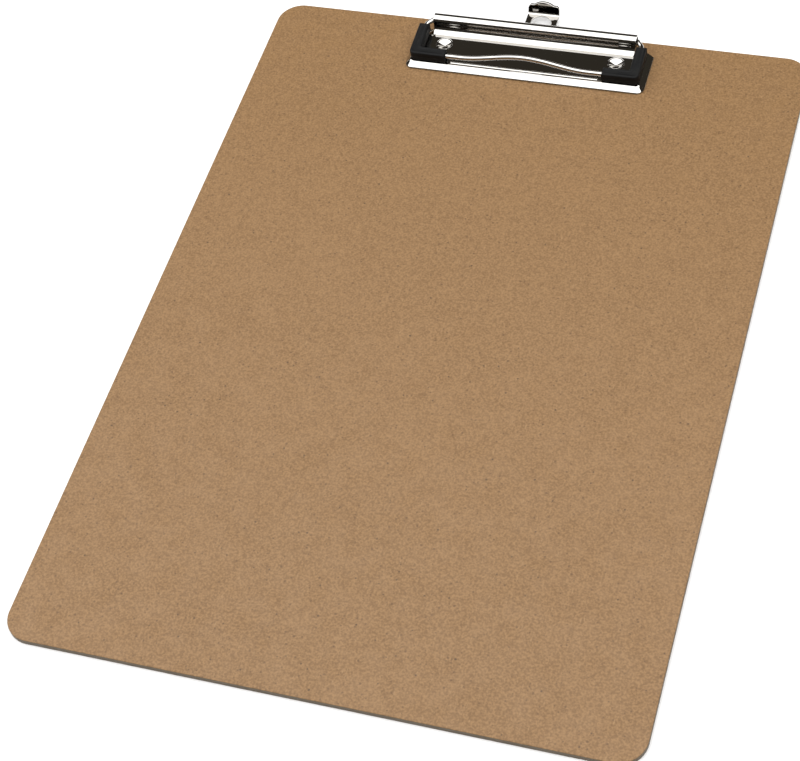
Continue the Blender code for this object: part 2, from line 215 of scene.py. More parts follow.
def through(points, steps):
    """A smooth curve through the points (Catmull-Rom), with that many steps between each two."""
    points = [Vector(point) for point in points]
    padded = [2 * points[0] - points[1]] + points + [2 * points[-1] - points[-2]]
    curve = []
    for a, b, c, d in zip(padded, padded[1:], padded[2:], padded[3:]):
        square = 2 * a - 5 * b + 4 * c - d
        cube = 3 * b - 3 * c + d - a
        for i in range(steps):
            t = i / steps
            curve.append(0.5 * (2 * b + (c - a) * t + square * t**2 + cube * t**3))
    curve.append(points[-1])
    return [tuple(point) for point in curve]


def corners_cut(path, rounds):
    """The path with its corners cut again and again, which rounds them; the ends stay."""
    path = [Vector(point) for point in path]
    for _ in range(rounds):
        softer = [path[0]]
        for a, b in zip(path, path[1:]):
            softer += [a.lerp(b, 0.25), a.lerp(b, 0.75)]
        path = softer + [path[-1]]
    return path


def rectangle(left, right, front, rear):
    """An anticlockwise outline with four square corners."""
    return [(left, front), (right, front), (right, rear), (left, rear)]


def rounded_rectangle(half_x, half_y, radius, steps):
    """An anticlockwise outline with four equal round corners."""
    points = []
    for turn, (sign_x, sign_y) in enumerate(((1, 1), (-1, 1), (-1, -1), (1, -1))):
        centre = (sign_x * (half_x - radius), sign_y * (half_y - radius))
        points += arc(centre, radius, 90 * turn, 90 * turn + 90, steps)
    return points


def loft(bm, rings, closed=True):
    """Joins rings that have the same number of points, and returns the rings' vertices."""
    loops = [[bm.verts.new(point) for point in ring] for ring in rings]
    for low, high in zip(loops, loops[1:]):
        count = len(low)
        for i in range(count if closed else count - 1):
            j = (i + 1) % count
            bm.faces.new((low[i], low[j], high[j], high[i]))
    return loops


def capped_loft(rings):
    """A closed solid from rings, with a flat face at each end."""
    bm = bmesh.new()
    loops = loft(bm, rings)
    bm.faces.new(loops[0])
    bm.faces.new(loops[-1])
    return bm


def prism(outline, low, high, axis="Z"):
    """A closed solid: an outline extruded along Z, or along Y for an outline given as (x, z)."""
    if axis == "Z":
        return capped_loft([[(x, y, level) for x, y in outline] for level in (low, high)])
    return capped_loft([[(x, level, z) for x, z in outline] for level in (low, high)])


def revolve(profile, x, y, segments):
    """A closed solid turned about a vertical axis; the profile starts and ends on the axis."""
    bm = bmesh.new()
    first = bm.verts.new((x, y, profile[0][1]))
    last = bm.verts.new((x, y, profile[-1][1]))
    rings = []
    for radius, z in profile[1:-1]:
        rings.append([(px, py, z) for px, py in arc((x, y), radius, 0, 360, segments)[:-1]])
    loops = loft(bm, rings)
    for i in range(segments):
        j = (i + 1) % segments
        bm.faces.new((first, loops[0][j], loops[0][i]))
        bm.faces.new((last, loops[-1][i], loops[-1][j]))
    return bm


def tube(path, radius, sides):
    """A closed round tube along a path, with ends that are slightly rounded off."""
    points = [Vector(point) for point in path]
    up = Vector((0, 0, 1))
    rings = []
    last = len(points) - 1
    for i, point in enumerate(points):
        along = (points[min(i + 1, last)] - points[max(i - 1, 0)]).normalized()
        side = along.cross(up).normalized()
        top = side.cross(along)
        reach = radius * (TUBE_END if i in (0, last) else 1.0)
        ring = []
        for k in range(sides):
            angle = 2 * math.pi * (k + 0.5) / sides
            ring.append(point + reach * (side * math.cos(angle) + top * math.sin(angle)))
        rings.append(ring)
    return capped_loft(rings)


def new_object(name, bm, sharp_angle=SHARP_ANGLE):
    """Turns the bmesh into a linked object, shaded smooth with its sharp edges kept."""
    bmesh.ops.recalc_face_normals(bm, faces=bm.faces)
    mesh = bpy.data.meshes.new(name)
    bm.to_mesh(mesh)
    bm.free()
    mesh.shade_smooth()
    mesh.set_sharp_from_angle(angle=math.radians(sharp_angle))
    obj = bpy.data.objects.new(name, mesh)
    bpy.context.scene.collection.objects.link(obj)
    return obj


def combine(target, other, operation):
    """Adds a Boolean of the two, applies it and removes the other object."""
    modifier = target.modifiers.new(operation.lower(), "BOOLEAN")
    modifier.operation = operation
    modifier.solver = "EXACT"
    modifier.object = other
    apply_modifiers(target)
    bpy.data.objects.remove(other)


def round_edges(obj, width):
    """Rounds off the edges by the width, apart from those that hardly turn."""
    bevel = obj.modifiers.new("edges", "BEVEL")
    bevel.width = width
    bevel.segments = BEVEL_SEGMENTS
    bevel.limit_method = "ANGLE"
    bevel.angle_limit = math.radians(BEVEL_ANGLE)
    apply_modifiers(obj)


def even_normals(obj):
    """Keeps the shading of level faces level up to their borders, and evens out the rest."""
    mesh = obj.data
    mesh.set_sharp_from_angle(angle=math.radians(SHARP_ANGLE))
    level = [abs(polygon.normal.z) > LEVEL_NORMAL_Z for polygon in mesh.polygons]
    touching = {}
    for polygon in mesh.polygons:
        for key in polygon.edge_keys:
            touching.setdefault(key, []).append(level[polygon.index])
    for edge in mesh.edges:
        if touching.get(edge.key, []).count(True) == 1:
            edge.use_edge_sharp = True
    weighted = obj.modifiers.new("normals", "WEIGHTED_NORMAL")
    weighted.keep_sharp = True
    weighted.weight = 100
    apply_modifiers(obj)


def apply_modifiers(obj):
    """Replaces the object's mesh by the one that its modifiers give, and removes them."""
    bpy.context.view_layer.update()
    graph = bpy.context.evaluated_depsgraph_get()
    mesh = bpy.data.meshes.new_from_object(obj.evaluated_get(graph))
    obj.modifiers.clear()
    obj.data = mesh


def hand_over(obj, material, node, body):
    """Gives the piece its material, and lets it stand for its CAD node on that node's body."""
    obj.data.materials.clear()
    obj.data.materials.append(material)
    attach(obj, body)
    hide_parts(node)


# Board

def make_board(material):
    """The sheet with slightly rounded edges, and a stepped hole for each rivet."""
    edge = arc((BOARD_EDGE_R, BOARD_EDGE_R), BOARD_EDGE_R, 270, 180, 4)
    rings = []
    for inset, z in edge + [(inset, BOARD_TOP - z) for inset, z in reversed(edge)]:
        half_x = BOARD_HALF_X - inset
        half_y = BOARD_HALF_Y - inset
        outline = rounded_rectangle(half_x, half_y, BOARD_CORNER_R - inset, 32)
        rings.append([(x, y, z) for x, y in outline])
    board = new_object("hardboard", capped_loft(rings))
    profile = [
        (0, -BEYOND),
        (RIVET_HEAD_R + RIVET_CLEARANCE, -BEYOND),
        (RIVET_HEAD_R + RIVET_CLEARANCE, COUNTERBORE),
        (RIVET_SHANK_R + RIVET_CLEARANCE, COUNTERBORE),
        (RIVET_SHANK_R + RIVET_CLEARANCE, BOARD_TOP + BEYOND),
        (0, BOARD_TOP + BEYOND),
    ]
    for side in (-1, 1):
        hole = revolve(profile, side * RIVET_X, RIVET_Y, 64)
        combine(board, new_object("rivet_hole", hole), "DIFFERENCE")
    even_normals(board)
    hand_over(board, material, "board", "board_assembly")


# Pan, neck and sleeve

def flange_section():
    """The pan's rolled-down edge as (distance in from the outline, height above the board)."""
    points = (
        (0.0, PAN_GAP),
        (0.0, 0.00042),
        (0.00010, 0.00060),
        (0.00040, 0.00090),
        (0.00160, 0.00203),
        (0.00195, 0.00230),
        (0.00225, 0.00245),
        (0.00260, PAN_HEIGHT),
    )
    return through(points, 4)


def flange_outline(inset):
    """The pan's open outline at one inset: down the left side, round the front and up the right."""
    half = PAN_HALF_WIDTH - inset
    front = PAN_FRONT_Y + inset
    radius = PAN_CORNER_R - inset
    points = [(-half, PAN_EAR_REAR_Y)]
    points += arc((-half + radius, front + radius), radius, 180, 270, 20)
    points += arc((half - radius, front + radius), radius, 270, 360, 20)
    points.append((half, PAN_EAR_REAR_Y))
    return points


def bead_outline(inset):
    """The stiffening bead seen from above: a slot shape along the pan's front."""
    half_length = BEAD_HALF_LENGTH - inset
    half_width = BEAD_HALF_WIDTH - inset
    return [(x, BEAD_Y + y) for x, y in rounded_rectangle(half_length, half_width, half_width, 8)]


def bead_levels():
    """The bead's rounded section, as outlines with their heights."""
    levels = []
    steps = 6
    for i in range(steps + 1):
        height = BEAD_HEIGHT * (0.5 - 0.5 * math.cos(math.pi * i / steps))
        levels.append((bead_outline(BEAD_TOP_INSET * i / steps), PAN_HEIGHT + height))
    return levels


def dimple_levels(centre):
    """The rivet seat pressed into the pan, as outlines with their heights."""
    points = [(DIMPLE_R + outside, PAN_HEIGHT - depth) for outside, depth in DIMPLE_RIM]
    points.append((DIMPLE_HOLE_R, PAN_HEIGHT - DIMPLE_DEPTH))
    levels = []
    for radius, height in through(points, 4):
        levels.append((arc(centre, radius, 0, 360, 72)[:-1], height))
    return levels


def neck_section():
    """The upper surface behind the flat, as (y, height, share of the way to the curl's width)."""
    bend_steps = 24
    bend = arc((BEND_START_Y, PAN_HEIGHT + BEND_R), BEND_R, -90, 0, bend_steps)
    curl = arc((HINGE.y, PAN_HEIGHT + BEND_R), CURL_R, 180, 180 - CURL_SWEEP, 72)
    section = [(y, height, i / bend_steps) for i, (y, height) in enumerate(bend)]
    section += [(y, height, 1.0) for y, height in curl[1:]]
    return section


def add_island(bm, levels):
    """A closed feature within the flat of the pan. Returns its outermost and innermost vertices."""
    rings = [[(x, y, BOARD_TOP + height) for x, y in outline] for outline, height in levels]
    loops = loft(bm, rings)
    return loops[0], loops[-1]


def pan_surface():
    """The sheet's upper surface: flange, flat with its bead and rivet seats, bend and curl."""
    bm = bmesh.new()
    rings = []
    for inset, height in flange_section():
        rings.append([(x, y, BOARD_TOP + height) for x, y in flange_outline(inset)])
    shoulder = loft(bm, rings, closed=False)[-1]

    neck = []
    for y, height, share in neck_section():
        half = NECK_HALF_WIDTH + (CURL_HALF_WIDTH - NECK_HALF_WIDTH) * share
        neck.append([(half, y, BOARD_TOP + height), (-half, y, BOARD_TOP + height)])
    start = loft(bm, neck, closed=False)[0]

    slit_x = NECK_HALF_WIDTH + NECK_SLIT
    top = BOARD_TOP + PAN_HEIGHT
    right = [bm.verts.new((slit_x, y, top)) for y in (PAN_EAR_REAR_Y, BEND_START_Y)]
    left = [bm.verts.new((-slit_x, y, top)) for y in (BEND_START_Y, PAN_EAR_REAR_Y)]
    borders = [shoulder + right + start + left]

    bead_outer, bead_inner = add_island(bm, bead_levels())
    bm.faces.new(bead_inner)
    borders.append(bead_outer)
    for side in (-1, 1):
        borders.append(add_island(bm, dimple_levels((side * RIVET_X, RIVET_Y)))[0])

    edges = []
    for loop in borders:
        for a, b in zip(loop, loop[1:] + loop[:1]):
            edges.append(bm.edges.get((a, b)) or bm.edges.new((a, b)))
    bmesh.ops.triangle_fill(bm, edges=edges, use_beauty=True, use_dissolve=False)
    return bm


def make_base_plate(material):
    """The pan, neck and sleeve are one pressed sheet, thickened downwards, with two lugs below."""
    plate = new_object("clip_pan", pan_surface())
    widest = max(plate.data.polygons, key=lambda polygon: polygon.area)
    if widest.normal.z < 0:
        plate.data.flip_normals()
    thicken = plate.modifiers.new("sheet", "SOLIDIFY")
    thicken.thickness = SHEET
    thicken.offset = -1
    thicken.use_even_offset = True
    apply_modifiers(plate)
    for side in (-1, 1):
        low, high = sorted((side * LUG_INNER_X, side * LUG_OUTER_X))
        outline = rectangle(low, high, LUG_FRONT_Y, LUG_REAR_Y)
        lug = prism(outline, BOARD_TOP + LUG_BOTTOM, BOARD_TOP + PAN_HEIGHT - SHEET / 2)
        combine(plate, new_object("lug", lug), "UNION")
    round_edges(plate, PAN_EDGE_R)
    even_normals(plate)
    hand_over(plate, material, "base_plate", "board_assembly")


# Rivets

def make_rivet(name, side, material):
    """A rivet with a flat head below, and a flared end with a conical dish above."""
    top = BOARD_TOP + PAN_HEIGHT
    corner = (RIVET_HEAD_R - RIVET_HEAD_EASE, RIVET_HEAD_LOW + RIVET_HEAD_EASE)
    rim_centre = (RIVET_RIM_R - RIVET_RIM_EASE, top - RIVET_RIM_EASE)
    profile = [(0, RIVET_HEAD_LOW)]
    profile += arc(corner, RIVET_HEAD_EASE, 270, 360, 5)
    profile += [(RIVET_HEAD_R, RIVET_HEAD_HIGH), (RIVET_SHANK_R, RIVET_HEAD_HIGH)]
    profile.append((RIVET_SHANK_R, top - RIVET_FLARE))
    profile += arc(rim_centre, RIVET_RIM_EASE, -30, 90, 6)
    # Rings close to both ends of the cone keep its shading straight between them.
    floor_z = top - RIVET_DISH_DEPTH
    for share in CONE_RINGS:
        radius = rim_centre[0] + (RIVET_DISH_FLOOR_R - rim_centre[0]) * share
        profile.append((radius, top - RIVET_DISH_DEPTH * share))
    profile += [(RIVET_DISH_FLOOR_R * FLOOR_RING, floor_z), (0, floor_z)]
    rivet = new_object(name, revolve(profile, side * RIVET_X, RIVET_Y, 96), RIVET_SHARP_ANGLE)
    hand_over(rivet, material, name.replace("_fastener", ""), "board_assembly")


# Bail and its grips

def bail_bow(x):
    """The share of the bow's rise and step back at one place along the front run."""
    share = max(0.0, 1 - abs(x) / BOW_HALF_SPAN)
    return 0.5 - 0.5 * math.cos(math.pi * share)


def bail_path():
    """Centreline of the bail's right half, from its middle to the end of its leg in the sleeve."""
    points = []
    front = -BAIL_REACH
    steps = 40
    for i in range(steps + 1):
        x = BOW_HALF_SPAN * i / steps
        points.append((x, front + BOW_SETBACK * bail_bow(x), BOW_RISE * bail_bow(x)))
    corner_x = BAIL_HALF_WIDTH - BAIL_CORNER_R
    corner = arc((corner_x, front + BAIL_CORNER_R), BAIL_CORNER_R, -90, 0, 14)
    points += [(x, y, 0.0) for x, y in corner]
    # The arm leans in towards the sleeve, then turns to run along it.
    for inwards, back in ARM_LEAN:
        points.append((BAIL_HALF_WIDTH - inwards, -BAIL_CRANK_Y + back, 0.0))
    points.append((BAIL_CRANK_X + BAIL_CRANK_EASE, -BAIL_TURN_R - ARM_LEAN_END, 0.0))
    turn = arc((BAIL_LEG_START_X + BAIL_CRANK_EASE, -BAIL_TURN_R), BAIL_TURN_R, 20, 90, 8)
    points += [(x, y, 0.0) for x, y in turn]
    points.append((BAIL_LEG_START_X, 0.0, 0.0))
    points.append((BAIL_LEG_END_X + LEG_TIP, 0.0, 0.0))
    points.append((BAIL_LEG_END_X, 0.0, 0.0))
    return points


def place_on_hinge(obj):
    """Tilts the mesh so that the bail's front is lower, and puts its origin on the hinge axis."""
    tilt = math.asin(BAIL_DROP / BAIL_REACH)
    obj.data.transform(Matrix.Rotation(tilt, 4, "X"))
    obj.location = HINGE


def make_bail(material):
    """The wire, from the end of one leg round the front to the end of the other."""
    half = bail_path()
    whole = [(-x, y, z) for x, y, z in reversed(half[1:])] + half
    bail = new_object("bail", tube(corners_cut(whole, 2), WIRE_R, 32))
    place_on_hinge(bail)
    hand_over(bail, material, "bail_wire", "bail")


def grip_outline(inset):
    """The right grip seen from above: an L with a round outer corner."""
    outer = GRIP_OUTER_X - inset
    inner = GRIP_INNER_X + inset
    front = -GRIP_FRONT_Y + inset
    back = -GRIP_FRONT_Y + GRIP_LEG_DEPTH - inset
    outer_r = max(GRIP_OUTER_R - inset, GRIP_LEAST_R)
    inner_r = GRIP_INNER_R + inset
    points = [(GRIP_LEG_END_X + inset, back), (GRIP_LEG_END_X + inset, front)]
    points += arc((outer - outer_r, front + outer_r), outer_r, -90, 0, 14)
    points += [(outer, -GRIP_REAR_Y - inset), (inner, -GRIP_REAR_Y - inset)]
    points += arc((inner - inner_r, back + inner_r), inner_r, 0, -90, 8)
    return points


def grip_levels():
    """The grip's section from below to above, as (inset, height).

    It has round edges, a fine seam half way up and a shallow channel moulded into its top.
    """
    half = GRIP_HALF_HEIGHT
    low_r = GRIP_CHAMFER * 0.5
    levels = [(low_r + x, -half + low_r + z) for x, z in arc((0, 0), low_r, 270, 180, 4)]
    levels += [
        (GRIP_SEAM_HEIGHT, -GRIP_SEAM_HALF),
        (0.0, 0.0),
        (GRIP_SEAM_HEIGHT, GRIP_SEAM_HALF),
    ]
    high_r = GRIP_CHAMFER
    levels += [(high_r + x, half - high_r + z) for x, z in arc((0, 0), high_r, 180, 90, 7)]
    levels += [
        (GRIP_CHANNEL_EDGE, half),
        (GRIP_CHANNEL_FLOOR, half - GRIP_CHANNEL_DEPTH),
        (GRIP_CHANNEL_MIDDLE, half - GRIP_CHANNEL_DEPTH),
    ]
    return levels


def make_grip(name, side, material):
    """An L-shaped sleeve over one front corner of the bail, bored along the wire's path."""
    rings = [[(side * x, y, z) for x, y in grip_outline(inset)] for inset, z in grip_levels()]
    grip = new_object(f"{name}_sleeve", capped_loft(rings), GRIP_SHARP_ANGLE)
    path = [(side * x, y, z) for x, y, z in bail_path()]
    bore = new_object("bore", tube(corners_cut(path, 2), WIRE_R + GRIP_BORE_GAP, 24))
    combine(grip, bore, "DIFFERENCE")
    place_on_hinge(grip)
    hand_over(grip, material, name, "bail")


# Hanger

def lip_blank_top():
    """The height of the lip before its top is trimmed to shape."""
    return BOARD_TOP + HANGER_LIP_TOP + HANGER_HUMP_RISE + BEYOND


def hanger_section(steps):
    """The strip's outline seen from the side, as (y, z): flat, bend and a lip that leans back."""
    outer_r = HANGER_BEND_R + HANGER_THICK
    centre = (HANGER_BEND_Y - outer_r, HANGER_UNDER + outer_r)
    outer = arc(centre, outer_r, -90, -HANGER_LIP_LEAN, steps)
    inner = arc(centre, HANGER_BEND_R, -HANGER_LIP_LEAN, -90, steps)
    slope = math.tan(math.radians(HANGER_LIP_LEAN))
    top = lip_blank_top()
    rims = [(y + (top - z) * slope, top) for y, z in (outer[-1], inner[0])]
    over = HANGER_UNDER + HANGER_THICK
    return [(HANGER_FRONT_Y, HANGER_UNDER)] + outer + rims + inner + [(HANGER_FRONT_Y, over)]


def lip_trim_outline():
    """What is trimmed off round the hanger's lip: all that is beyond its shoulders and hump."""
    shoulder = BOARD_TOP + HANGER_LIP_TOP - HANGER_SHOULDER_R
    hump_r = (HANGER_HUMP_HALF**2 + HANGER_HUMP_RISE**2) / (2 * HANGER_HUMP_RISE)
    spread = math.degrees(math.asin(HANGER_HUMP_HALF / hump_r))
    hump_centre = (0, BOARD_TOP + HANGER_LIP_TOP + HANGER_HUMP_RISE - hump_r)
    inner_x = HANGER_HALF_WIDTH - HANGER_SHOULDER_R
    beyond_x = HANGER_HALF_WIDTH + BEYOND
    beyond_z = lip_blank_top() + BEYOND
    points = [(-beyond_x, shoulder), (-HANGER_HALF_WIDTH, shoulder)]
    points += arc((-inner_x, shoulder), HANGER_SHOULDER_R, 180, 90, 12)[1:]
    points += arc(hump_centre, hump_r, 90 + spread, 90 - spread, 24)
    points += arc((inner_x, shoulder), HANGER_SHOULDER_R, 90, 0, 12)
    points += [(beyond_x, shoulder), (beyond_x, beyond_z), (-beyond_x, beyond_z)]
    return points


def make_hanger(material):
    """A strip with a T-shaped inner end, an eyelet and an upturned lip."""
    section = hanger_section(20)
    back = max(y for y, _ in section) + BEYOND
    rings = [[(x, y, z) for y, z in section] for x in (-HANGER_TEE_HALF, HANGER_TEE_HALF)]
    hanger = new_object("hanger_tab", capped_loft(rings))

    for side in (-1, 1):
        low, high = sorted((side * HANGER_HALF_WIDTH, side * (HANGER_TEE_HALF + BEYOND)))
        outline = rectangle(low, high, HANGER_TEE_REAR_Y, back)
        trim = prism(outline, BOARD_TOP, lip_blank_top() + BEYOND)
        combine(hanger, new_object("trim", trim), "DIFFERENCE")
    trim = prism(lip_trim_outline(), HANGER_BEND_Y - HANGER_THICK - BEYOND, back, axis="Y")
    combine(hanger, new_object("trim", trim), "DIFFERENCE")
    outline = arc((0, EYELET_Y), EYELET_R, 0, 360, 72)[:-1]
    eyelet = prism(outline, BOARD_TOP, HANGER_UNDER + HANGER_THICK + BEYOND)
    combine(hanger, new_object("trim", eyelet), "DIFFERENCE")
    round_edges(hanger, HANGER_EDGE_R)
    even_normals(hanger)
    hand_over(hanger, material, "hanger", "hanger_strip")


# Materials

CHROME = (0.48, 0.465, 0.44)
CHROME_PALE = (0.55, 0.535, 0.51)
CHROME_SPECK = (0.33, 0.31, 0.27)
RUBBER = (0.007, 0.007, 0.007)
RUBBER_DARK = (0.004, 0.004, 0.0042)
RUBBER_DUST = (0.010, 0.010, 0.0095)
RUBBER_MARK = (0.022, 0.022, 0.021)
HARDBOARD = (0.20, 0.115, 0.05)
HARDBOARD_BROAD = ((0.178, 0.095, 0.034), (0.200, 0.109, 0.042))
HARDBOARD_PATCH = (0.152, 0.078, 0.027)
HARDBOARD_CLUMP = (0.146, 0.075, 0.025)
HARDBOARD_FINE = (0.266, 0.151, 0.062)
HARDBOARD_FIBRE = (0.31, 0.190, 0.088)
HARDBOARD_THREAD = (0.100, 0.048, 0.016)
HARDBOARD_GRAIN = (0.088, 0.043, 0.015)
HARDBOARD_FLECK = (0.052, 0.027, 0.011)
# Cut edges: their own darker tone, deepened further with painted shade
HARDBOARD_CUT_AND_SHADE = ((0.060, 0.041, 0.019), (0.110, 0.076, 0.037))
FLOOR_COLORS = ((0.87, 0.87, 0.87), (0.90, 0.90, 0.90))

# Depths of the relief that the bumps stand for
CHROME_SCRATCH_DEPTH = 0.0000004
RUBBER_GRAIN_DEPTH = 0.00003
RUBBER_MARK_HEIGHT = 0.000006
HARDBOARD_FACE_DEPTH = 0.00003
HARDBOARD_CUT_DEPTH = 0.0002

# Spots: the share of the cells that have none, and the width of a spot's soft edge as a share of the
# largest radius. Strokes: how much the scale grows from one direction to the next.
SPOTLESS_SHARE = 0.35
SPOT_SOFTNESS = 0.4
STROKE_SCALE_STEP = 0.13


class Shader:
    """A material being built: its node tree, its object coordinates and its Principled shader."""

    def __init__(self, name, color, metallic, roughness):
        self.material = bpy.data.materials.new(name)
        self.material.use_nodes = True
        self.tree = self.material.node_tree
        self.surface = self.tree.nodes["Principled BSDF"]
        self.surface.inputs["Metallic"].default_value = metallic
        self.surface.inputs["Roughness"].default_value = roughness
        self.surface.inputs["Base Color"].default_value = (*color, 1.0)
        self.place = self.tree.nodes.new("ShaderNodeTexCoord").outputs["Object"]

    def node(self, kind, links=(), **values):
        """A new node with its inputs linked or set by name or number."""
        made = self.tree.nodes.new(kind)
        for key, value in values.items():
            setattr(made, key, value)
        for key, value in links:
            if isinstance(value, bpy.types.NodeSocket):
                self.tree.links.new(value, made.inputs[key])
            else:
                made.inputs[key].default_value = value
        return made

    def stretched(self, scale, turn=(0, 0, 0)):
        """The object coordinates, turned and scaled."""
        links = (("Vector", self.place), ("Scale", scale), ("Rotation", turn))
        return self.node("ShaderNodeMapping", links).outputs["Vector"]

    def noise(self, scale, detail, vector=None):
        """Soft random values between 0 and 1."""
        links = (("Vector", vector or self.place), ("Scale", scale), ("Detail", detail))
        return self.node("ShaderNodeTexNoise", links).outputs["Fac"]

    def spots(self, scale, radius, vector=None):
        """1 inside small round spots of varied size, one to a cell at most, and 0 elsewhere."""
        links = (("Vector", vector or self.place), ("Scale", scale), ("Randomness", 1.0))
        cells = self.node("ShaderNodeTexVoronoi", links)
        links = (("Color", cells.outputs["Color"]),)
        size = self.node("ShaderNodeSeparateColor", links).outputs["Red"]
        reach = self.ranged(size, SPOTLESS_SHARE, 1.0, 0.0, radius)
        inside = self.math("SUBTRACT", reach, cells.outputs["Distance"])
        return self.ranged(inside, 0.0, radius * SPOT_SOFTNESS, 0.0, 1.0)

    def dashes(self, scale, radius, length, turn):
        """1 inside short straight strokes; the turn of their direction is in radians."""
        return self.spots(scale, radius, self.stretched((1.0, 1.0 / length, 1.0), (0, 0, turn)))

    def strokes(self, scale, radius, length, turns):
        """Strokes in several directions together."""
        layers = []
        for i, turn in enumerate(turns):
            layers.append(self.dashes(scale * (1 + STROKE_SCALE_STEP * i), radius, length, turn))
        together = layers[0]
        for layer in layers[1:]:
            together = self.math("MAXIMUM", together, layer)
        return together

    def math(self, operation, first, second=0.0):
        """The result of an operation such as ADD; ABSOLUTE needs only the first value."""
        made = self.node("ShaderNodeMath", ((0, first), (1, second)), operation=operation)
        return made.outputs["Value"]

    def ranged(self, value, low, high, start, end):
        """The value moved from the range low to high into the range start to end, and kept in it."""
        links = (
            ("Value", value),
            ("From Min", low),
            ("From Max", high),
            ("To Min", start),
            ("To Max", end),
        )
        return self.node("ShaderNodeMapRange", links).outputs["Result"]

    def mixed(self, share, first, second):
        """Two colours mixed by a share."""
        first = (*first, 1.0) if isinstance(first, tuple) else first
        second = (*second, 1.0) if isinstance(second, tuple) else second
        # 6 and 7 are the numbers of the colour sockets: the mix node has others with the same names.
        links = ((0, share), (6, first), (7, second))
        return self.node("ShaderNodeMix", links, data_type="RGBA").outputs[2]

    def bumped(self, height, depth, under=None):
        """The normal of a bump, on top of another bump if one is given; the depth is in metres."""
        links = [("Height", height), ("Distance", depth), ("Strength", 1.0)]
        if under:
            links.append(("Normal", under))
        return self.node("ShaderNodeBump", links).outputs["Normal"]

    def feed(self, name, value):
        """Links a value to an input of the Principled shader."""
        self.tree.links.new(value, self.surface.inputs[name])


def chrome_material(name, wave, scratch_turns):
    """Bright chrome on steel: faint rolling waves, hairline scratches, haze and dust specks."""
    shader = Shader(name, CHROME, metallic=1.0, roughness=0.06)
    haze = shader.noise(55.0, 3.0)
    specks = shader.spots(420.0, 0.13)
    hairs = shader.strokes(500.0, 0.05, 12.0, scratch_turns)
    color = shader.mixed(haze, CHROME, CHROME_PALE)
    color = shader.mixed(shader.math("MULTIPLY", specks, 0.35), color, CHROME_SPECK)
    shader.feed("Base Color", color)
    rough = shader.ranged(haze, 0.35, 0.7, 0.03, 0.07)
    rough = shader.math("ADD", rough, shader.math("MULTIPLY", hairs, 0.06))
    rough = shader.math("ADD", rough, shader.math("MULTIPLY", specks, 0.20))
    shader.feed("Roughness", rough)
    waves = shader.bumped(shader.noise(70.0, 1.0), wave)
    shader.feed("Normal", shader.bumped(hairs, -CHROME_SCRATCH_DEPTH, waves))
    return shader.material


def rubber_material():
    """Matte black moulded rubber: fine grain, drag marks along the grip and a dusty bloom."""
    shader = Shader("moulded_rubber", RUBBER, metallic=0.0, roughness=0.6)
    shader.surface.inputs["Specular IOR Level"].default_value = 0.16
    bloom = shader.noise(160.0, 4.0)
    dust = shader.ranged(bloom, 0.45, 0.75, 0.0, 1.0)
    color = shader.mixed(dust, RUBBER_DARK, RUBBER_DUST)
    marks = shader.strokes(420.0, 0.10, 9.0, (0.1, 1.45))
    color = shader.mixed(shader.math("MULTIPLY", marks, 0.30), color, RUBBER_MARK)
    shader.feed("Base Color", color)
    shader.feed("Roughness", shader.ranged(bloom, 0.3, 0.7, 0.50, 0.68))
    grain = shader.bumped(shader.noise(5200.0, 2.0), RUBBER_GRAIN_DEPTH)
    shader.feed("Normal", shader.bumped(marks, RUBBER_MARK_HEIGHT, grain))
    return shader.material


def hardboard_material():
    """Pressed wood fibre: mottled face with fibres and flecks, darker cut edges that also carry
    painted shade.
    """
    shader = Shader("hardboard", HARDBOARD, metallic=0.0, roughness=0.5)
    shader.surface.inputs["Specular IOR Level"].default_value = 0.4
    broad = shader.ranged(shader.noise(14.0, 3.0), 0.3, 0.7, 0.0, 1.0)
    patches = shader.noise(120.0, 3.0)
    clumps = shader.noise(430.0, 2.0)
    fine = shader.noise(1300.0, 2.0)
    color = shader.mixed(broad, *HARDBOARD_BROAD)
    color = shader.mixed(shader.ranged(patches, 0.36, 0.64, 0.0, 0.55), color, HARDBOARD_PATCH)
    color = shader.mixed(shader.ranged(clumps, 0.36, 0.64, 0.0, 0.60), color, HARDBOARD_CLUMP)
    color = shader.mixed(shader.ranged(fine, 0.36, 0.66, 0.0, 0.90), color, HARDBOARD_FINE)

    fibres = shader.strokes(700.0, 0.18, 5.0, (0.3, 1.2, 2.3))
    color = shader.mixed(shader.math("MULTIPLY", fibres, 0.50), color, HARDBOARD_FIBRE)
    threads = shader.strokes(760.0, 0.15, 4.0, (0.8, 1.9, 2.8))
    color = shader.mixed(shader.math("MULTIPLY", threads, 0.45), color, HARDBOARD_THREAD)
    flecks = shader.spots(360.0, 0.19)
    grains = shader.spots(620.0, 0.34)
    color = shader.mixed(shader.math("MULTIPLY", grains, 0.65), color, HARDBOARD_GRAIN)
    color = shader.mixed(shader.math("MULTIPLY", flecks, 0.72), color, HARDBOARD_FLECK)

    # The board's sides get a darker colour: partly the cut fibre's own tone, partly painted shade for
    # sides that turn away from the overhead light.
    normal = shader.node("ShaderNodeNewGeometry").outputs["Normal"]
    facing = shader.node("ShaderNodeSeparateXYZ", (("Vector", normal),)).outputs["Z"]
    edge = shader.ranged(shader.math("ABSOLUTE", facing), 0.15, 0.75, 1.0, 0.0)
    layers = shader.noise(300.0, 3.0, vector=shader.stretched((1.0, 1.0, 9.0)))
    cut_and_shade = shader.mixed(layers, *HARDBOARD_CUT_AND_SHADE)
    color = shader.mixed(edge, color, cut_and_shade)
    shader.feed("Base Color", color)

    shader.feed("Roughness", shader.ranged(patches, 0.3, 0.7, 0.42, 0.54))
    raised = shader.math("MULTIPLY", fine, 0.7)
    raised = shader.math("ADD", raised, shader.math("MULTIPLY", fibres, 0.3))
    raised = shader.math("SUBTRACT", raised, shader.math("MULTIPLY", flecks, 0.4))
    face = shader.bumped(raised, HARDBOARD_FACE_DEPTH)
    ridges = shader.math("MULTIPLY", layers, edge)
    shader.feed("Normal", shader.bumped(ridges, HARDBOARD_CUT_DEPTH, face))
    return shader.material


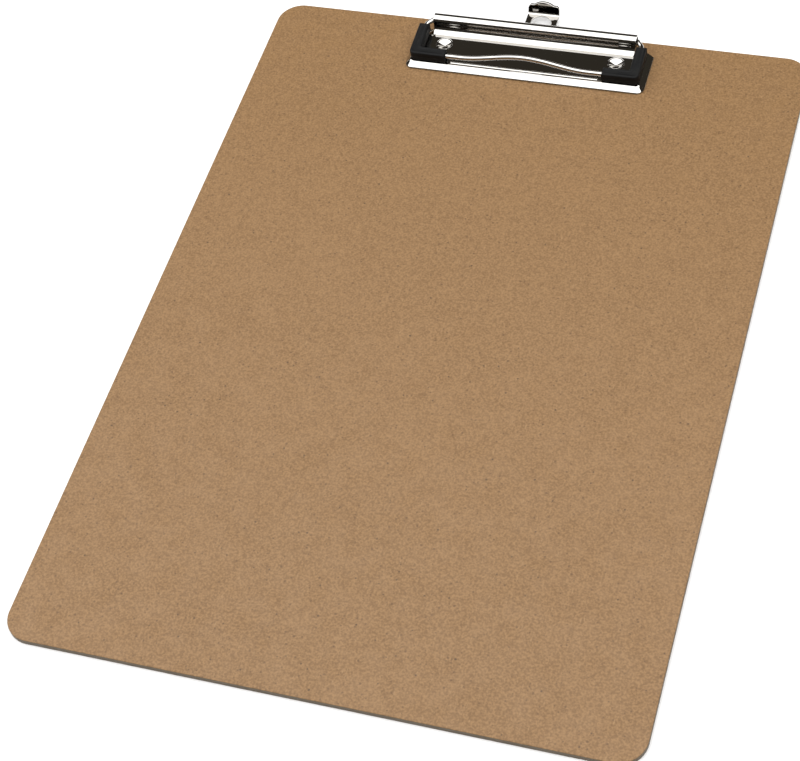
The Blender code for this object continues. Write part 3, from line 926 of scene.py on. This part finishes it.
def floor_material():
    """A pale floor, mottled so faintly that it looks plain."""
    shader = Shader("pale_floor", FLOOR_COLORS[0], metallic=0.0, roughness=0.9)
    shader.feed("Base Color", shader.mixed(shader.noise(3.0, 2.0), *FLOOR_COLORS))
    return shader.material


# Studio

WORLD_COLOR = (0.048, 0.042, 0.033)
FLOOR_HALF = 4.0
FLOOR_THICK = 0.02
BOX_HEIGHT = 1.2
BOX_LEFT = -2.6
BOX_RIGHT = 1.6
BOX_FRONT = -1.04
BOX_REAR = 0.93
BOX_RADIANCE = 2.8


def make_camera():
    """The camera of the photograph, turned by its heading, then its pitch, then its roll."""
    data = bpy.data.cameras.new("camera")
    data.sensor_width = CAMERA_SENSOR
    data.lens = CAMERA_LENS
    data.shift_x, data.shift_y = CAMERA_SHIFT
    data.clip_start = 0.01
    camera = bpy.data.objects.new("camera", data)
    bpy.context.scene.collection.objects.link(camera)
    forward = Vector((
        math.sin(CAMERA_HEADING) * math.cos(CAMERA_PITCH),
        math.cos(CAMERA_HEADING) * math.cos(CAMERA_PITCH),
        -math.sin(CAMERA_PITCH),
    ))
    level = Vector((math.cos(CAMERA_HEADING), -math.sin(CAMERA_HEADING), 0))
    below = forward.cross(level)
    across = math.cos(CAMERA_ROLL) * level + math.sin(CAMERA_ROLL) * below
    down = -math.sin(CAMERA_ROLL) * level + math.cos(CAMERA_ROLL) * below
    axes = Matrix((across, -down, -forward)).transposed()
    camera.matrix_world = Matrix.Translation(CAMERA_PLACE) @ axes.to_4x4()
    bpy.context.scene.camera = camera


def make_light(name, place, size, radiance):
    """A soft rectangle that faces straight down; its power follows from its size and radiance."""
    data = bpy.data.lights.new(name, "AREA")
    data.shape = "RECTANGLE"
    data.size, data.size_y = size
    data.energy = radiance * math.pi * size[0] * size[1]
    light = bpy.data.objects.new(name, data)
    light.location = place
    bpy.context.scene.collection.objects.link(light)


def make_studio():
    """A pale floor under one wide box light, in a dark room."""
    scene = bpy.context.scene
    scene.view_settings.view_transform = "Standard"
    world = bpy.data.worlds.new("studio")
    world.use_nodes = True
    world.node_tree.nodes["Background"].inputs["Color"].default_value = (*WORLD_COLOR, 1.0)
    scene.world = world

    outline = rounded_rectangle(FLOOR_HALF, FLOOR_HALF, FLOOR_HALF / 2, 8)
    floor = new_object("floor", prism(outline, -FLOOR_THICK, 0.0))
    floor.data.materials.append(floor_material())

    # The box light hangs square to the board. Its rear edge is just in front of the place that the
    # flat chrome reflects, so that the flats stay dark and each slope that faces forward turns bright.
    centre = Vector(((BOX_LEFT + BOX_RIGHT) / 2, (BOX_FRONT + BOX_REAR) / 2, BOX_HEIGHT))
    size = (BOX_RIGHT - BOX_LEFT, BOX_REAR - BOX_FRONT)
    make_light("overhead_box", centre, size, BOX_RADIANCE)


make_camera()
make_studio()
make_board(hardboard_material())
make_base_plate(chrome_material("pan_chrome", wave=0.00001, scratch_turns=(1.57, 1.2)))
rivet_chrome = chrome_material("rivet_chrome", wave=0.000002, scratch_turns=(0.4, 2.0))
for side, name in ((-1, "left"), (1, "right")):
    make_rivet(f"{name}_rivet_fastener", side, rivet_chrome)
make_bail(chrome_material("wire_chrome", wave=0.000004, scratch_turns=(1.5, 1.7)))
rubber = rubber_material()
for side, name in ((-1, "left"), (1, "right")):
    make_grip(f"{name}_grip", side, rubber)
make_hanger(chrome_material("hanger_chrome", wave=0.000006, scratch_turns=(0.1, 0.5)))
